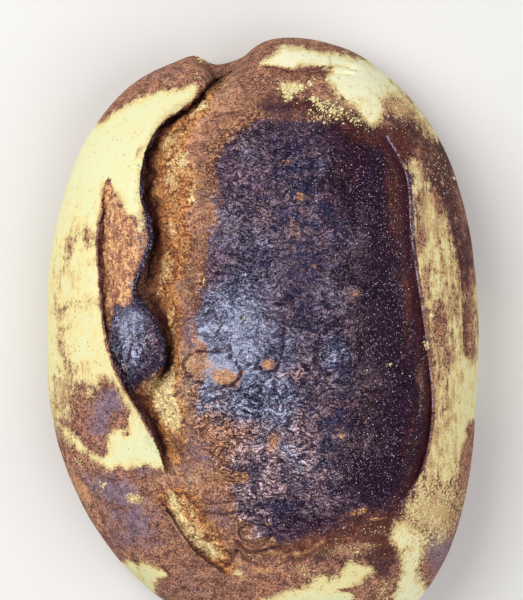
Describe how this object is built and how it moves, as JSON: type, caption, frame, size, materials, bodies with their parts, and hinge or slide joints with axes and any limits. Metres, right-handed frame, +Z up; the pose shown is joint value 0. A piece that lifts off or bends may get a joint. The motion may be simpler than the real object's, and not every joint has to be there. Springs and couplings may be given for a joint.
{
  "type": "rye bread loaf",
  "caption": "Oval free-standing rye bread loaf with opened side cuts, lifted crust lips and a high dome, resting on its flat base crust.",
  "frame": {"origin": "middle of the loaf's bounding box, on the flat base crust that it rests on", "axes": "+Z up, +Y along the loaf to the end where the first cut runs out in a notch, -X to the side with the cuts"},
  "size_m": [0.185, 0.2592, 0.0862],
  "materials": {
    "crust": "dark baked rye crust, satin on the dome and floured on the sides"
  },
  "bodies": {
    "root": {"rye_loaf": "crust"}
  },
  "joints": []
}
